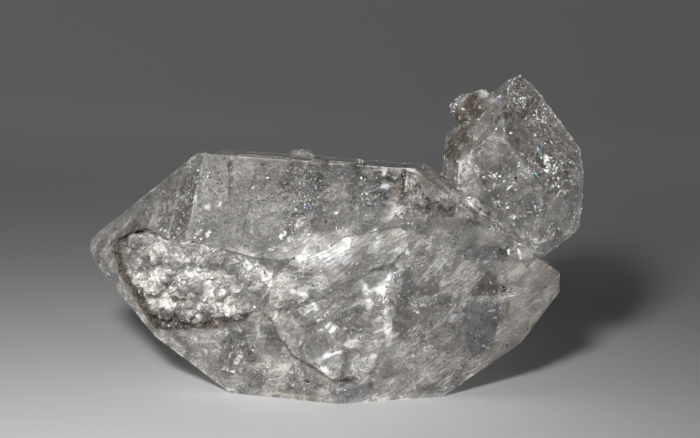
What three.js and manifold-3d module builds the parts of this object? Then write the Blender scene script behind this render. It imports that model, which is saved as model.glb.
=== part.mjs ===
// A doubly ended quartz crystal lying on one of its prism faces, with a smaller crystal and a
// small bud grown into its back right shoulder. One solid: the crystals have no seam to part at.
// Millimetres, +Z up. The long crystal's axis runs along X, a little nearer at the right.
import * as THREE from 'three';
import { ConvexGeometry } from 'three/addons/geometries/ConvexGeometry.js';
import { mergeVertices } from 'three/addons/utils/BufferGeometryUtils.js';
import Module from 'manifold-3d';

const wasm = await Module();
wasm.setup();

// ---------------------------------------------------------------- sizes and angles
const SIDES = 6; // a quartz prism and each of its ends have six faces
const END_LEAN = 51.8; // degrees between an end face's outward direction and the long axis

// Each crystal: where its middle is, how it is turned (turn about Z, lean, roll about its own
// axis, in degrees), and how far each face lies from the middle: six sides, six at each end.
const MAIN = {
  middle: [-5, 0, 15.2],
  turn: -11.9,
  lean: 90,
  roll: 0,
  sides: [15.2, 16.4, 12.5, 16.5, 13.1, 8.3],
  head: [22.4, 29.2, 29.0, 21.3, 17.75, 9.4],
  foot: [18.0, 20.2, 22.7, 22.0, 18.7, 18.4],
};
const SATELLITE = {
  middle: [20.7, 4.5, 30.1],
  turn: -95.4,
  lean: 16.9,
  roll: 103.6,
  sides: [8.0, 7.3, 9.1, 8.1, 7.3, 8.9],
  head: [9.5, 9.1, 9.9, 8.8, 10.8, 8.5],
  foot: [9.0, 10.8, 8.7, 9.5, 8.7, 10.2],
};
const BUD = {
  middle: [15.2, 4.5, 39.3],
  turn: -49.5,
  lean: 77.8,
  roll: 48.7,
  sides: [2.0, 2.1, 1.8, 1.8, 2.1, 1.9],
  head: [2.9, 2.7, 2.8, 2.7, 2.7, 2.4],
  foot: [2.7, 2.7, 2.4, 3.1, 2.9, 2.5],
};

// Growth terraces: thin plates that stand on a face, with edges set in from the face's own.
// set: side faces, head faces and foot faces of the plate are this much nearer the middle.
const TERRACES = [
  { on: ['sides', 4], rise: 0.14, set: [1.1, 3.4, 4.4] },
  { on: ['sides', 4], rise: 0.28, set: [2.3, 4.9, 9.5] },
  { on: ['head', 3], rise: 0.12, set: [3.0, 1.6, 6.0] },
  { on: ['foot', 4], rise: 0.14, set: [2.4, 8.0, 1.3] },
  { on: ['sides', 3], rise: 0.12, set: [2.0, 5.0, 3.0] },
  { on: ['sides', 2], rise: 0.45, set: [1.5, 3.0, 2.2] },
  { on: ['sides', 2], rise: 0.9, set: [2.7, 8.0, 4.5] },
  { on: ['sides', 1], rise: 0.4, set: [1.8, 6.0, 3.2] },
  { on: ['sides', 1], rise: 0.7, set: [3.1, 12.0, 5.2] },
  { on: ['foot', 2], rise: 0.35, set: [3.0, 8.0, 2.4] },
  { on: ['foot', 1], rise: 0.3, set: [2.6, 8.0, 2.0] },
  { on: ['head', 1], rise: 0.4, set: [3.5, 5.0, 9.0] },
];

// Two broken hollows in the front. out and up give the hollow's outward direction (degrees from
// -Y towards +X, and above level); edge is its outline in that plane, along the crystal and up.
const DRUSE = {
  middle: [-20.6, -3.9, 15.5],
  out: -30.8,
  up: -11.2,
  edge: [
    [-14.1, 1.8], [-11.2, 3.7], [-7.1, 5.5], [-3.3, 5.5], [2.4, 6.6], [8.4, 5.8],
    [13.1, 5.0], [12.1, 0.8], [10.5, -1.2], [7.8, -4.4], [5.1, -5.2], [2.4, -6.1],
    [-3.7, -7.3], [-4.6, -6.4], [-7.4, -3.8], [-10.6, -0.1],
  ],
};
const SCAR = {
  middle: [-0.5, -6.9, 14.3],
  out: 13.1,
  up: -24.1,
  edge: [
    [-9.5, -1.1], [-8.7, -4.3], [-6.9, -7.7], [-4.3, -9.5], [-1.9, -11.4], [0.4, -11.8],
    [2.6, -12.0], [5.1, -8.6], [6.4, -5.0], [6.9, -1.1], [8.4, 3.1], [8.7, 5.7],
    [8.4, 9.0], [7.1, 10.3], [3.6, 10.5], [0.1, 9.9], [-2.4, 8.8], [-6.0, 8.4],
    [-8.6, 5.2], [-9.4, 2.1],
  ],
};
const SPOKES = 60; // points round a hollow
const RINGS = 9; // steps from its middle to its edge
const CLEAR = 7; // how far a hollow's cutter reaches out past the crystal

// The small crystals on the druse's floor: how many, how far out they stand as a share of the
// way to its edge, and their size, which is small more often than large.
const DRUSE_CRYSTALS = { count: 26, spread: 0.86, size: 0.55, larger: [0.35, 0.75], seed: 11 };

// Smaller growths. Each is a smaller copy of the crystal that it grew from, moved from its
// middle by shift, and turned the same way (parallel growth) unless it says otherwise.
const SATELLITE_GROWTHS = [
  { scale: 0.3, shift: [-6.6, -0.4, 1.6] }, // knobs down its left side
  { scale: 0.26, shift: [-5.7, -1.6, 4.2] },
  { scale: 0.24, shift: [-7.3, 0.6, -1.2] },
  { scale: 0.36, shift: [-3.2, -3.6, 5.0] }, // shoulders on its faces
  { scale: 0.42, shift: [3.8, -3.6, 1.2] },
  { scale: 0.4, shift: [-1.5, 5.6, 3.5] },
  { scale: 0.74, shift: [-4.0, 2.6, -10.5], turn: -60, lean: 28 }, // stem, down behind
];
const BUD_GROWTHS = [
  { scale: 0.72, shift: [1.6, -0.2, 0.2], turn: -20, lean: 60 }, // grown through the bud
  { scale: 0.6, shift: [-1.5, 0.3, -0.6], turn: -80, roll: 10 },
  { scale: 0.95, shift: [1.9, 0.4, -1.6], turn: -130, lean: 40 }, // neck into the satellite
];
const MAIN_GROWTHS = [
  { scale: 0.34, shift: [-8, 13.2, -3.5] }, // two small crystals grown into the back
  { scale: 0.2, shift: [6, 11.5, -5.5], turn: 24, lean: 74 },
];
// A sliver on the long crystal's top face: a small crystal of the bud's shape.
const SLIVER = { scale: 0.4, shift: [-22.2, -4.6, -7.3], turn: -12, lean: 90, roll: 0 };

const CORNER_GAP = 0.02; // corners nearer than this are one
const FLAT_ENOUGH = 0.004; // the joined solid's faces are merged where they differ by less

const DEG = Math.PI / 180;

// ---------------------------------------------------------------- small helpers
// The same run of numbers between 0 and 1 each time, from a seed.
function dice(seed) {
  let state = seed >>> 0;
  return () => {
    state = (Math.imul(state, 1664525) + 1013904223) >>> 0;
    return state / 4294967296;
  };
}

// Smooth bumps between -1 and 1, no two places alike.
function bumps(x, y, seed) {
  const cell = (i, j) => {
    const h = Math.sin(i * 127.1 + j * 311.7 + seed * 74.7) * 43758.5453;
    return 2 * (h - Math.floor(h)) - 1;
  };
  const i = Math.floor(x);
  const j = Math.floor(y);
  const ease = (t) => t * t * (3 - 2 * t);
  const u = ease(x - i);
  const v = ease(y - j);
  const low = cell(i, j) + (cell(i + 1, j) - cell(i, j)) * u;
  const high = cell(i, j + 1) + (cell(i + 1, j + 1) - cell(i, j + 1)) * u;
  return low + (high - low) * v;
}

// A closed solid from corner points and the loops of corners round each face.
function solid(points, loops) {
  const triangles = [];
  for (const loop of loops) {
    for (let i = 1; i + 1 < loop.length; i++) triangles.push(loop[0], loop[i], loop[i + 1]);
  }
  const flat = new Float32Array(points.length * 3);
  points.forEach((p, i) => p.toArray(flat, i * 3));
  return new wasm.Manifold(
    new wasm.Mesh({ numProp: 3, vertProperties: flat, triVerts: new Uint32Array(triangles) }),
  );
}

// ---------------------------------------------------------------- crystals
// The outward directions of a crystal's faces: sides, then the head's, then the foot's.
function directions(spec) {
  const turned = new THREE.Matrix4()
    .makeRotationZ(spec.turn * DEG)
    .multiply(new THREE.Matrix4().makeRotationY(spec.lean * DEG))
    .multiply(new THREE.Matrix4().makeRotationZ(spec.roll * DEG));
  const across = Math.sin(END_LEAN * DEG);
  const along = Math.cos(END_LEAN * DEG);
  const rows = [[1, 0], [across, along], [across, -along]];
  return rows.flatMap(([r, h]) =>
    Array.from({ length: SIDES }, (_, k) => {
      const a = (k * 360 * DEG) / SIDES;
      return new THREE.Vector3(r * Math.cos(a), r * Math.sin(a), h).applyMatrix4(turned);
    }),
  );
}

// The crystal as a list of planes: outward direction and distance from the origin.
function planes(spec) {
  const middle = new THREE.Vector3(...spec.middle);
  const reach = [...spec.sides, ...spec.head, ...spec.foot];
  return directions(spec).map((n, i) => ({ n, d: reach[i] + n.dot(middle) }));
}

// The corner where three planes meet, or null where two of them never cross.
function corner(a, b, c) {
  const bc = b.n.clone().cross(c.n);
  const size = a.n.dot(bc);
  if (Math.abs(size) < 1e-6) return null;
  return bc
    .multiplyScalar(a.d)
    .add(c.n.clone().cross(a.n).multiplyScalar(b.d))
    .add(a.n.clone().cross(b.n).multiplyScalar(c.d))
    .divideScalar(size);
}

// The solid inside all the planes.
function inside(list) {
  const points = [];
  for (let i = 0; i < list.length; i++) {
    for (let j = i + 1; j < list.length; j++) {
      for (let k = j + 1; k < list.length; k++) {
        const p = corner(list[i], list[j], list[k]);
        if (!p || list.some((q) => q.n.dot(p) > q.d + 1e-5)) continue;
        if (!points.some((q) => q.distanceTo(p) < CORNER_GAP)) points.push(p);
      }
    }
  }
  const shell = new ConvexGeometry(points);
  shell.deleteAttribute('normal');
  const merged = mergeVertices(shell, CORNER_GAP / 4);
  return new wasm.Manifold(
    new wasm.Mesh({
      numProp: 3,
      vertProperties: merged.getAttribute('position').array,
      triVerts: new Uint32Array(merged.index.array),
    }),
  );
}

const crystal = (spec) => inside(planes(spec));

// The same crystal with one face raised and all the others brought in.
function terrace(spec, { on: [row, face], rise, set }) {
  const plate = { ...spec };
  ['sides', 'head', 'foot'].forEach((name, i) => {
    plate[name] = spec[name].map((d, k) => (name === row && k === face ? d + rise : d - set[i]));
  });
  return crystal(plate);
}

// ---------------------------------------------------------------- hollows
// Where a hollow sits: its outward direction, the way along the crystal, and the way up.
function frameOf(hollow, spec) {
  const out = new THREE.Vector3(
    Math.sin(hollow.out * DEG) * Math.cos(hollow.up * DEG),
    -Math.cos(hollow.out * DEG) * Math.cos(hollow.up * DEG),
    Math.sin(hollow.up * DEG),
  );
  const axis = new THREE.Vector3(Math.cos(spec.turn * DEG), Math.sin(spec.turn * DEG), 0);
  const along = axis.addScaledVector(out, -axis.dot(out)).normalize();
  return { out, along, up: out.clone().cross(along), at: new THREE.Vector3(...hollow.middle) };
}

// How far out the crystal's surface lies above the hollow's own plane at (u, v).
function surfaceHeight(frame, list, u, v) {
  const foot = frame.at.clone().addScaledVector(frame.along, u).addScaledVector(frame.up, v);
  return Math.min(
    ...list
      .filter(({ n }) => n.dot(frame.out) > 0.05)
      .map(({ n, d }) => (d - n.dot(foot)) / n.dot(frame.out)),
  );
}

// The distance from the hollow's middle to its outline in a direction.
function edgeDistance(edge, a) {
  const dir = [Math.cos(a), Math.sin(a)];
  let best = 0;
  edge.forEach((p, i) => {
    const q = edge[(i + 1) % edge.length];
    const side = [q[0] - p[0], q[1] - p[1]];
    const size = dir[0] * side[1] - dir[1] * side[0];
    if (Math.abs(size) < 1e-9) return;
    const far = (p[0] * side[1] - p[1] * side[0]) / size;
    const share = (p[0] * dir[1] - p[1] * dir[0]) / size;
    if (far > 0 && share >= -1e-9 && share <= 1 + 1e-9) best = Math.max(best, far);
  });
  return best;
}

// The solid to cut away: a floor sunk below the surface by depth(u, v, t), and a wall up from
// its edge. t is 0 in the middle and 1 at the edge.
function cutter(hollow, spec, depth) {
  const frame = frameOf(hollow, spec);
  const list = planes(spec);
  const at = (u, v, h) =>
    frame.at
      .clone()
      .addScaledVector(frame.along, u)
      .addScaledVector(frame.up, v)
      .addScaledVector(frame.out, h);
  const floor = (u, v, t) => at(u, v, surfaceHeight(frame, list, u, v) - depth(u, v, t));
  const points = [floor(0, 0, 0)];
  for (let ring = 1; ring <= RINGS; ring++) {
    for (let k = 0; k < SPOKES; k++) {
      const a = (k / SPOKES) * 2 * Math.PI;
      const t = ring / RINGS;
      const r = t * edgeDistance(hollow.edge, a);
      points.push(floor(r * Math.cos(a), r * Math.sin(a), t));
    }
  }
  for (let k = 0; k < SPOKES; k++) {
    const a = (k / SPOKES) * 2 * Math.PI;
    const r = edgeDistance(hollow.edge, a);
    points.push(at(r * Math.cos(a), r * Math.sin(a), CLEAR));
  }
  points.push(at(0, 0, CLEAR));
  const top = points.length - 1;
  const index = (ring, k) => 1 + (ring - 1) * SPOKES + (k % SPOKES);
  const loops = [];
  for (let k = 0; k < SPOKES; k++) {
    loops.push([0, index(1, k + 1), index(1, k)]);
    for (let ring = 1; ring <= RINGS; ring++) {
      const a = index(ring, k);
      const b = index(ring, k + 1);
      const c = index(ring + 1, k + 1);
      const d = index(ring + 1, k);
      loops.push([a, b, c], [a, c, d]);
    }
    loops.push([top, index(RINGS + 1, k), index(RINGS + 1, k + 1)]);
  }
  return solid(points, loops);
}

// The druse: a hollow stepped in ledges along the crystal, rough all over.
function druseDepth(u, v, t) {
  const ledge = (v + 8 + 0.8 * bumps(u / 4, v / 5, 3)) / 2.6;
  const step = 0.7 * (ledge - Math.floor(ledge));
  const rough = 0.55 * bumps(u / 1.5, v / 1.1, 5) + 0.3 * bumps(u / 0.8, v / 0.8, 9);
  return Math.max(0.3, 0.55 + 1.5 * (1 - t * t) + step + rough * (1 - 0.5 * t));
}

// The scar: a shell-shaped break with ribs round the point it was struck from, and a shelf
// along its upper side that slopes in to a notch.
function scarDepth(u, v, t) {
  const shelf = 2.2 + 0.33 * u - v; // above zero below the shelf's lower edge
  const ribs = 0.16 * Math.sin(Math.hypot(u - 3, v + 7) * 2.6);
  const facets = 0.3 * bumps(u / 2.4, v / 2.1, 21) + 0.14 * bumps(u / 1, v / 1, 22);
  const bowl = 0.45 + 2.6 * Math.pow(1 - t * t, 0.8);
  const slope = 0.25 + 1.5 * Math.max(0, 1 - t) + 0.1 * bumps(u / 3 + v, v / 0.7, 23);
  const blend = THREE.MathUtils.smoothstep(shelf, -0.5, 0.7);
  return Math.max(0.22, slope + (bowl + ribs + facets - slope) * blend);
}

// Small crystals standing on the druse's floor.
function druseCrystals(spec) {
  const frame = frameOf(DRUSE, spec);
  const list = planes(spec);
  const { count, spread, size: least, larger, seed } = DRUSE_CRYSTALS;
  const roll = dice(seed);
  const made = [];
  while (made.length < count) {
    const a = roll() * 2 * Math.PI;
    const t = Math.sqrt(roll()) * spread;
    const r = t * edgeDistance(DRUSE.edge, a);
    const u = r * Math.cos(a);
    const v = r * Math.sin(a);
    const size = least + larger[1] * roll() * roll() + larger[0] * roll();
    const sink = surfaceHeight(frame, list, u, v) - druseDepth(u, v, t) + 0.25 * size;
    const middle = frame.at
      .clone()
      .addScaledVector(frame.along, u)
      .addScaledVector(frame.up, v)
      .addScaledVector(frame.out, sink);
    const reach = (base) => Array.from({ length: SIDES }, () => size * base * (0.85 + 0.3 * roll()));
    made.push(
      crystal({
        middle: middle.toArray(),
        turn: -120 + 70 * (roll() - 0.5),
        lean: 90 + 80 * (roll() - 0.5),
        roll: 60 * roll(),
        sides: reach(0.8),
        head: reach(1.25),
        foot: reach(1.25),
      }),
    );
  }
  return made;
}

// ---------------------------------------------------------------- smaller growths
// A smaller copy of a crystal, moved from its middle and turned as the growth says.
function growth(spec, { scale, shift, ...turned }) {
  const shrink = (row) => row.map((d) => d * scale);
  return crystal({
    ...spec,
    ...turned,
    middle: spec.middle.map((m, i) => m + shift[i]),
    sides: shrink(spec.sides),
    head: shrink(spec.head),
    foot: shrink(spec.foot),
  });
}

const growths = (spec, list) => list.map((item) => growth(spec, item));

// ---------------------------------------------------------------- the whole
function build() {
  const { Manifold } = wasm;
  const plates = TERRACES.map((t) => terrace(MAIN, t));
  const body = Manifold.union([
    crystal(MAIN),
    ...plates,
    ...growths(MAIN, MAIN_GROWTHS),
    growth(BUD, SLIVER),
  ]);
  const cut = body
    .subtract(cutter(DRUSE, MAIN, druseDepth))
    .subtract(cutter(SCAR, MAIN, scarDepth));
  return Manifold.union([
    cut,
    ...druseCrystals(MAIN),
    crystal(SATELLITE),
    ...growths(SATELLITE, SATELLITE_GROWTHS),
    crystal(BUD),
    ...growths(BUD, BUD_GROWTHS),
  ]).simplify(FLAT_ENOUGH);
}

function meshOf(shape) {
  const { vertProperties, triVerts, numProp } = shape.getMesh();
  const count = vertProperties.length / numProp;
  const position = new Float32Array(count * 3);
  for (let i = 0; i < count; i++) {
    for (let k = 0; k < 3; k++) position[i * 3 + k] = vertProperties[i * numProp + k];
  }
  const geometry = new THREE.BufferGeometry();
  geometry.setAttribute('position', new THREE.BufferAttribute(position, 3));
  geometry.setIndex(new THREE.BufferAttribute(new Uint32Array(triVerts), 1));
  // the middle of the outline over the origin, the lowest face on the floor
  const box = new THREE.Box3().setFromBufferAttribute(geometry.getAttribute('position'));
  const middle = box.getCenter(new THREE.Vector3());
  geometry.translate(-middle.x, -middle.y, -box.min.z);
  const faceted = geometry.toNonIndexed();
  faceted.computeVertexNormals();
  return faceted;
}

const quartz = new THREE.MeshStandardMaterial({
  name: 'clear_quartz',
  color: 0xd6d6d2,
  roughness: 0.08,
  metalness: 0,
  transparent: true,
  opacity: 0.55,
  flatShading: true,
});

const cluster = new THREE.Group();
cluster.name = 'cluster';
const mesh = new THREE.Mesh(meshOf(build()), quartz);
mesh.name = 'crystal_cluster';
cluster.add(mesh);

export default cluster;
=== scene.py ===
"""A herkimer diamond: clear quartz pointed at both ends, a smaller crystal grown into its back
shoulder, a drusy hollow and a broken scar in front, and what is sealed inside it."""

import functools
import math

import bpy
import numpy as np
from bpy.props import FloatProperty, FloatVectorProperty, IntProperty, PointerProperty
from mathutils import Matrix, Vector


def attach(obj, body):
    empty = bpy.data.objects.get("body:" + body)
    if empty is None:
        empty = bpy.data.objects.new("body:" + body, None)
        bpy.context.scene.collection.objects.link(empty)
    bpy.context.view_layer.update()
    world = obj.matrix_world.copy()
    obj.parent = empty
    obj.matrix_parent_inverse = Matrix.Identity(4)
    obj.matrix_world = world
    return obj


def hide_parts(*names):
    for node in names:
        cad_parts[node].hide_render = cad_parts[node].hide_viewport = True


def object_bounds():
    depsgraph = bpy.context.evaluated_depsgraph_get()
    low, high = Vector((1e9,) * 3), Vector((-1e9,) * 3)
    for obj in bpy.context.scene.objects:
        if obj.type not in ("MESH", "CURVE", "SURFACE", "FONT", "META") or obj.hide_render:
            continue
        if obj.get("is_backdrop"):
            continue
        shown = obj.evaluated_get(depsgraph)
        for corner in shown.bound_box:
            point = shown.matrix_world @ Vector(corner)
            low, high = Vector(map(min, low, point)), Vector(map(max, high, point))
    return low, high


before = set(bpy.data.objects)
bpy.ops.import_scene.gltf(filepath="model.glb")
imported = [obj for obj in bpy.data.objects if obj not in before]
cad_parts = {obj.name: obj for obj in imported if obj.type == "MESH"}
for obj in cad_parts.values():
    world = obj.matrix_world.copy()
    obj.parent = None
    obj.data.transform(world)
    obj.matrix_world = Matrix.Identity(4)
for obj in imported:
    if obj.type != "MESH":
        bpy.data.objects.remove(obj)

bl_info = {
    "name": "Herkimer Diamond",
    "version": (1, 0, 0),
    "blender": (4, 5, 0),
    "location": "View3D > Sidebar > Quartz",
    "description": "A clear quartz cluster with its inclusions, on a plain studio floor",
    "category": "Add Mesh",
}

BODY = "root"
NODE = "crystal_cluster"
MM = 0.001
SIDES = 6
END_LEAN = math.radians(51.8)  # between an end face's outward direction and the long axis

# The crystals, in mm and degrees, in the frame's axes: the middle, the turn about Z, the lean and
# the roll about the crystal's own axis, and how far each face lies from the middle.
LONG = {
    "middle": (-2.16, -3.52, 15.2),
    "turned": (-11.9, 90.0, 0.0),
    "sides": (15.2, 16.4, 12.5, 16.5, 13.1, 8.3),
    "head": (22.4, 29.2, 29.0, 21.3, 17.75, 9.4),
    "foot": (18.0, 20.2, 22.7, 22.0, 18.7, 18.4),
}
SMALL = {
    "middle": (23.54, 0.98, 30.1),
    "turned": (-95.4, 16.9, 103.6),
    "sides": (8.0, 7.3, 9.1, 8.1, 7.3, 8.9),
    "head": (9.5, 9.1, 9.9, 8.8, 10.8, 8.5),
    "foot": (9.0, 10.8, 8.7, 9.5, 8.7, 10.2),
}
SHARES = ((LONG, 0.78), (SMALL, 0.22))  # how cracks and flakes are shared out

# The two hollows: the middle, the outward direction (degrees from -Y towards +X, and above
# level), and the outline along the crystal and up.
DRUSE = {
    "middle": (-17.76, -7.42, 15.5),
    "out": (-30.8, -11.2),
    "edge": (
        (-14.1, 1.8), (-11.2, 3.7), (-7.1, 5.5), (-3.3, 5.5), (2.4, 6.6), (8.4, 5.8),
        (13.1, 5.0), (12.1, 0.8), (10.5, -1.2), (7.8, -4.4), (5.1, -5.2), (2.4, -6.1),
        (-3.7, -7.3), (-4.6, -6.4), (-7.4, -3.8), (-10.6, -0.1),
    ),
}
SCAR = {
    "middle": (2.34, -10.42, 14.3),
    "out": (13.1, -24.1),
    "edge": (
        (-9.5, -1.1), (-8.7, -4.3), (-6.9, -7.7), (-4.3, -9.5), (-1.9, -11.4), (0.4, -11.8),
        (2.6, -12.0), (5.1, -8.6), (6.4, -5.0), (6.9, -1.1), (8.4, 3.1), (8.7, 5.7),
        (8.4, 9.0), (7.1, 10.3), (3.6, 10.5), (0.1, 9.9), (-2.4, 8.8), (-6.0, 8.4),
        (-8.6, 5.2), (-9.4, 2.1),
    ),
}
SCAR_SHELF = (-9.4, 0.4), (-2.4, 2.5), (2.8, 6.9), (8.4, 5.4)  # its lower edge, along and up

# Patches on the front of the skin, among them painted shade and painted bluish tints of light seen
# through the quartz: the tone each gives the quartz, how milky it is, how far it is free of the fine
# lines, and its outline in mm along X and Z.
PATCHES = (
    # the pale brown right end
    ((0.93, 0.87, 0.82), 0.26, 0.75, ((21.3, 19.6), (24.3, 20.4), (27.5, 20.2), (30.7, 17.9),
        (30.9, 15.3), (26.8, 8.0), (23.2, 7.9), (23.3, 10.9), (24.2, 12.0), (24.1, 14.7))),
    # the grey strip with black specks at its ends
    ((0.34, 0.35, 0.36), 0.30, 0.6, ((17.0, 21.8), (18.0, 22.3), (22.0, 22.0), (23.4, 21.1),
        (23.0, 19.7), (17.1, 19.8))),
    # the dark olive wedge under it
    ((0.24, 0.23, 0.20), 0.34, 0.5, ((18.2, 14.7), (19.4, 16.8), (20.8, 18.8), (22.3, 17.8),
        (22.9, 14.7))),
    # the window below, its bluish tint a painted colour of the light seen through it
    ((0.55, 0.59, 0.66), 0.10, 0.7, ((18.1, 14.3), (22.9, 14.1), (23.3, 11.2), (23.0, 8.5),
        (21.3, 6.0), (19.8, 6.1), (18.2, 9.5))),
    # the whitish patch above the strip
    ((0.98, 0.96, 0.94), 0.24, 1.0, ((18.6, 24.4), (20.4, 25.0), (22.4, 23.8), (22.7, 22.2),
        (19.2, 22.2))),
    # the pale place with black specks above the scar
    ((0.86, 0.84, 0.81), 0.17, 0.4, ((9.2, 31.0), (12.8, 31.0), (17.4, 26.9), (12.4, 27.0),
        (9.0, 28.2))),
    # the upper left wall of the scar, greyed as painted shade
    ((0.60, 0.59, 0.58), 0.42, 0.3, ((-6.8, 19.8), (-6.2, 21.8), (0.4, 24.2), (3.0, 24.4),
        (2.4, 22.2), (-2.8, 20.4))),
    # the strip at the bottom, its bluish tint a painted colour of the faces seen through it
    ((0.66, 0.70, 0.77), 0.12, 0.8, ((0.4, 2.9), (6.9, 2.8), (5.9, 0.2), (1.9, 0.1))),
    # the bright corner beside the smaller crystal's foot
    ((1.0, 0.97, 0.94), 0.34, 0.8, ((24.8, 21.9), (25.6, 22.2), (27.6, 19.9), (24.0, 19.9))),
)
WHITE = (1, 1, 1)
# Streaks on the front of the skin, two dark ones painted shade: a line in mm along X and Z, its
# width, its tone and how milky.
STREAKS = (
    # bars across the top face
    (((6.5, 31.7), (6.6, 29.4)), 0.7, WHITE, 0.3),
    (((9.3, 31.7), (9.2, 29.1)), 0.25, WHITE, 0.7),
    (((8.0, 31.4), (8.1, 28.8)), 0.9, (0.42, 0.34, 0.28), 0.3),
    # ribs in the scar's bowl, and under its shelf a dark line of painted shadow
    (((-1.2, 5.7), (0.9, 7.1), (4.3, 8.7)), 0.3, WHITE, 0.6),
    (((4.6, 17.0), (5.6, 14.7), (5.5, 12.7), (4.4, 10.0), (4.0, 7.7)), 0.5, WHITE, 0.42),
    (((9.0, 18.9), (7.1, 16.1), (7.9, 13.4), (8.4, 10.3), (8.2, 8.0)), 0.6, WHITE, 0.45),
    (((-0.6, 6.2), (0.4, 4.8), (1.4, 3.5)), 0.4, WHITE, 0.8),
    (((4.1, 19.0), (8.9, 19.3)), 0.5, (0.4, 0.38, 0.36), 0.4),
    # the dark seam at the smaller crystal's foot, and the white line beside it
    (((14.0, 30.2), (16.3, 28.7), (19.7, 26.4), (22.0, 25.3), (23.0, 24.4), (25.2, 22.4),
      (27.3, 20.1)), 0.3, (0.15, 0.14, 0.13), 0.9),
    (((14.0, 29.6), (16.3, 28.1), (19.7, 25.8), (22.0, 24.7)), 0.25, WHITE, 0.7),
    # short white lines in the scar's bowl
    (((-4.2, 15.6), (-2.4, 15.1), (-1.3, 13.3), (-0.7, 11.7)), 0.3, WHITE, 0.7),
    (((0.9, 9.9), (1.5, 10.7), (2.8, 10.2), (3.4, 8.7)), 0.28, WHITE, 0.75),
    (((-0.7, 5.8), (1.3, 6.9), (3.5, 7.7)), 0.3, WHITE, 0.6),
    (((-0.9, 9.6), (0.8, 11.1)), 0.25, WHITE, 0.6),
    # the white line outside the seam, and under the grey strip a dark line of painted shade along
    # its step
    (((22.2, 25.9), (24.0, 24.3), (26.3, 22.1), (28.0, 20.1)), 0.22, WHITE, 0.55),
    (((17.4, 19.8), (22.0, 19.75), (27.5, 19.6)), 0.16, (0.22, 0.20, 0.18), 0.55),
)
# Painted highlights and painted shade on the druse's floor: brighter than its grey ground where its
# rough facets catch the lamp, darker in its recesses. The middle in the hollow's axes along and up,
# the radius in mm, how bright, and how milky.
DRUSE_HIGHLIGHTS_AND_SHADE = (
    ((-11.4, 1.6), 3.4, 0.50, 0.20), ((-8.6, 3.0), 2.2, 0.66, 0.16), ((-6.2, 1.3), 1.5, 0.26, 0.34),
    ((-3.6, 1.9), 1.2, 0.30, 0.30), ((-4.1, -6.0), 1.9, 0.18, 0.45), ((-1.4, -5.8), 2.0, 0.17, 0.45),
    ((2.2, -5.4), 1.9, 0.20, 0.42), ((5.2, -5.0), 1.5, 0.26, 0.34), ((-7.0, -3.6), 1.5, 0.22, 0.34),
    ((-4.6, 0.3), 1.0, 1.0, 0.9), ((-7.3, -0.9), 0.9, 1.0, 0.55), ((-2.9, -3.4), 1.3, 1.0, 1.0),
    ((0.2, -2.6), 1.7, 1.0, 0.42), ((3.0, -2.4), 1.6, 1.0, 0.42), ((5.6, -3.2), 0.9, 1.0, 0.8),
    ((11.4, 2.6), 1.0, 1.0, 0.6),
)
# Brown stains: the middle and the radius in mm, and how strong.
STAINS = (
    ((15.0, -1.0, 34.4), 6.0, 1.0), ((17.3, -1.8, 40.0), 3.2, 1.0), ((29.5, -4.2, 23.7), 1.6, 0.6),
    ((-3.2, -13.3, 24.7), 0.8, 0.5), ((9.5, -13.5, 26.5), 0.8, 0.5), ((11.9, -10.2, 29.6), 2.6, 0.6),
    ((16.5, 3.0, 37.5), 2.2, 0.7),
)
# Where bright shards show the colours of a thin film.
COLOURED = (
    (26.2, -6.0, 34.5), (26.4, -6.4, 33.8), (25.5, -7.9, 31.9), (28.2, -6.9, 29.7),
    (30.5, -5.0, 29.6), (27.6, -6.9, 27.9), (26.7, -7.4, 27.1), (29.3, -5.6, 28.3),
)
# Where bright shards crowd at the skin: the radius in mm, and the middles.
GLITTER = (
    (1.0, ((-18.8, -4.2, 30.3), (-17.4, -7.4, 28.4), (-17.9, -8.2, 26.5), (-21.9, -5.3, 23.1),
           (-11.7, -8.2, 30.0), (-9.6, -10.1, 27.8), (-2.8, -10.2, 30.1), (4.8, -13.1, 27.7),
           (-3.6, -13.9, 23.5), (-10.0, -11.8, 24.8))),
    (0.8, ((5.0, -8.2, 15.8), (5.4, -7.0, 12.6), (4.3, -6.0, 9.2), (8.4, -8.8, 17.6),
           (7.4, -7.4, 14.6), (8.1, -6.5, 11.8), (8.2, -5.7, 8.6), (-0.2, -7.3, 5.6),
           (1.2, -7.0, 3.8), (3.2, -6.4, 8.0))),
    (0.9, ((-4.4, -12.1, 15.1), (-3.2, -11.7, 14.4), (-2.3, -9.4, 12.8), (-0.4, -8.8, 12.2),
           (2.5, -8.6, 14.3), (1.5, -7.2, 8.1), (3.2, -7.3, 11.8))),
    (0.9, ((-23.1, -5.3, 15.9), (-20.4, -6.3, 12.2), (-12.8, -8.6, 11.7), (-16.1, -6.6, 12.2),
           (-10.8, -10.2, 13.8), (-7.1, -12.4, 17.5), (-12.7, -9.6, 14.2))),
    (0.8, ((-10.6, -3.3, 1.2), (-8.7, -5.1, 3.6), (-7.8, -7.7, 7.7), (-6.0, -4.8, 2.2),
           (-2.7, -5.6, 2.3), (9.8, -1.0, 0.3))),
    (1.2, ((22.6, -6.6, 29.3), (21.6, -5.5, 27.2), (20.6, -6.3, 31.1), (26.1, -3.9, 38.3),
           (29.0, -6.2, 29.7), (24.8, -7.8, 32.8), (28.5, -5.4, 33.4), (23.4, -4.3, 40.8))),
    (1.0, ((15.4, -8.2, 21.4), (11.5, -6.7, 13.9), (14.1, -9.1, 21.7), (13.3, -2.4, 7.3),
           (20.5, -1.4, 13.8), (20.5, -5.4, 24.6), (26.1, -2.3, 20.6))),
    (0.4, COLOURED),
)
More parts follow.
